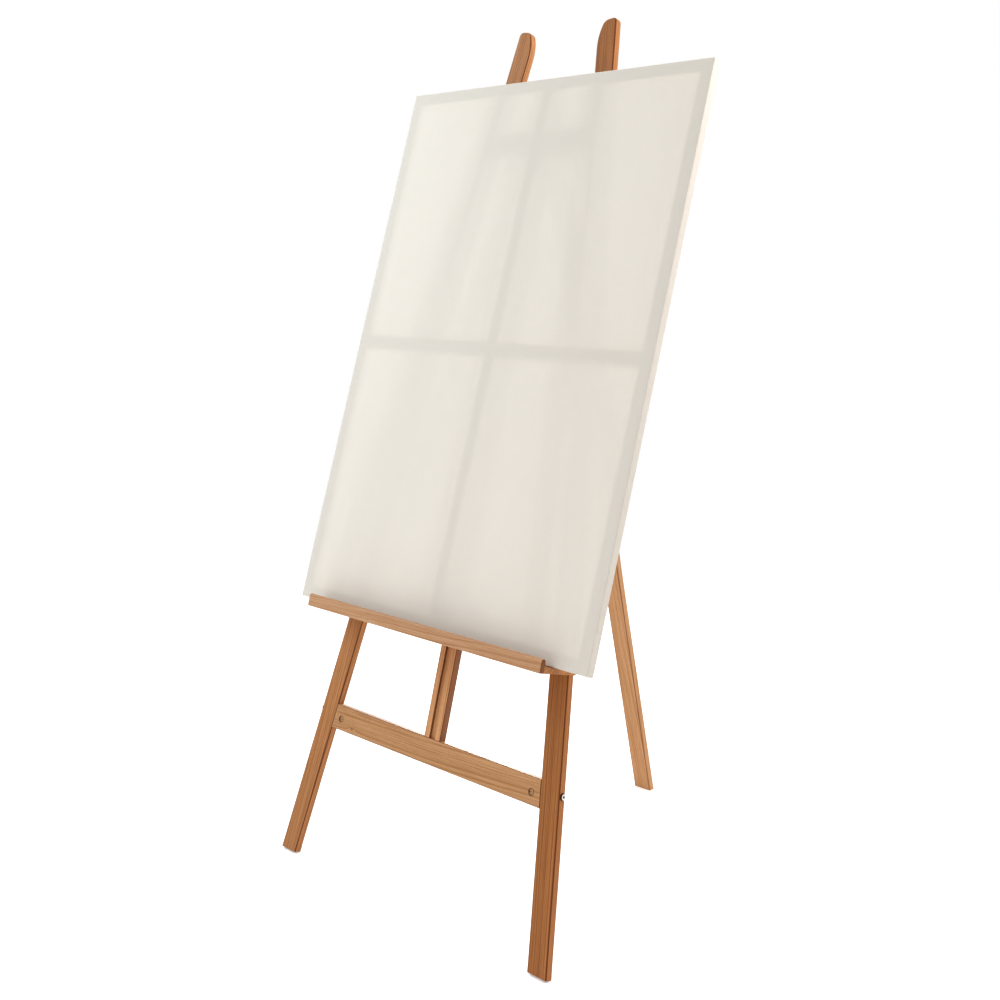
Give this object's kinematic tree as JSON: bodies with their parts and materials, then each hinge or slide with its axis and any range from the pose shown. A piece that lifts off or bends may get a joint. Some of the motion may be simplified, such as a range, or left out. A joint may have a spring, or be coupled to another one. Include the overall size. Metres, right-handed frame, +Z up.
{
  "type": "three-legged studio easel",
  "caption": "Folding three-legged beech studio easel with a tray that slides on a grooved mast, a hinged rear leg and a blank stretched canvas standing on the tray.",
  "frame": {"origin": "on the floor, below the middle of the bounding box", "axes": "+X to the right seen from the front, +Y to the back, +Z up"},
  "size_m": [0.7, 0.7043, 1.5243],
  "materials": {
    "beech": "oiled beech, satin",
    "dark_beech": "turned beech, oiled",
    "pine": "planed pine, bare",
    "primed_canvas": "primed cotton canvas",
    "nickel_steel": "nickel plated",
    "zinc_steel": "zinc plated",
    "brass": "turned brass"
  },
  "bodies": {
    "frame": {"right_front_leg": "beech", "left_front_leg": "beech", "lower_rail": "beech", "upper_rail": "beech", "mast": "beech", "mast_dowels": "beech", "joint_bolts": "nickel_steel", "barrel_nuts": "nickel_steel", "left_hinge_cheek": "beech", "right_hinge_cheek": "beech", "cheek_screws": "zinc_steel", "lap_screws": "zinc_steel", "hinge_bolt": "nickel_steel", "hinge_washers": "nickel_steel", "hinge_nut": "nickel_steel"},
    "rear_leg": {"rear_leg": "beech"},
    "tray": {"tray_shelf": "beech", "tray_lip": "beech", "tray_stiffener": "beech", "tray_screws": "zinc_steel", "carriage_plate": "beech", "carriage_strap": "beech", "guide_tongue": "beech", "left_carriage_cheek": "beech", "right_carriage_cheek": "beech", "carriage_screws": "zinc_steel", "plate_screws": "zinc_steel", "clamp_insert": "brass"},
    "clamp": {"clamp_stud": "zinc_steel", "clamp_knob": "dark_beech"},
    "canvas": {"stretcher_bottom_bar": "pine", "stretcher_top_bar": "pine", "stretcher_right_bar": "pine", "stretcher_left_bar": "pine", "stretcher_brace": "pine", "stretcher_upright": "pine", "canvas_cloth": "primed_canvas", "canvas_staples": "nickel_steel"}
  },
  "joints": [
    {"name": "rear_leg_hinge", "type": "hinge", "parent": "frame", "child": "rear_leg", "pos_m": [0, 0.03973, 1.26191], "axis": [1, 0, 0], "range_deg": [-29.25, 0]},
    {"name": "tray_slide", "type": "slide", "parent": "frame", "child": "tray", "axis": [0, 0.2698, 0.9629], "range_m": [-0.18, 0.6]},
    {"name": "clamp_turn", "type": "hinge", "parent": "tray", "child": "clamp", "pos_m": [0.0379, -0.19957, 0.51892], "axis": [1, 0, 0], "range_deg": [0, 720]},
    {"name": "canvas_lift", "type": "slide", "parent": "tray", "child": "canvas", "axis": [0, 0.2698, 0.9629], "range_m": [0, 0.1]}
  ]
}
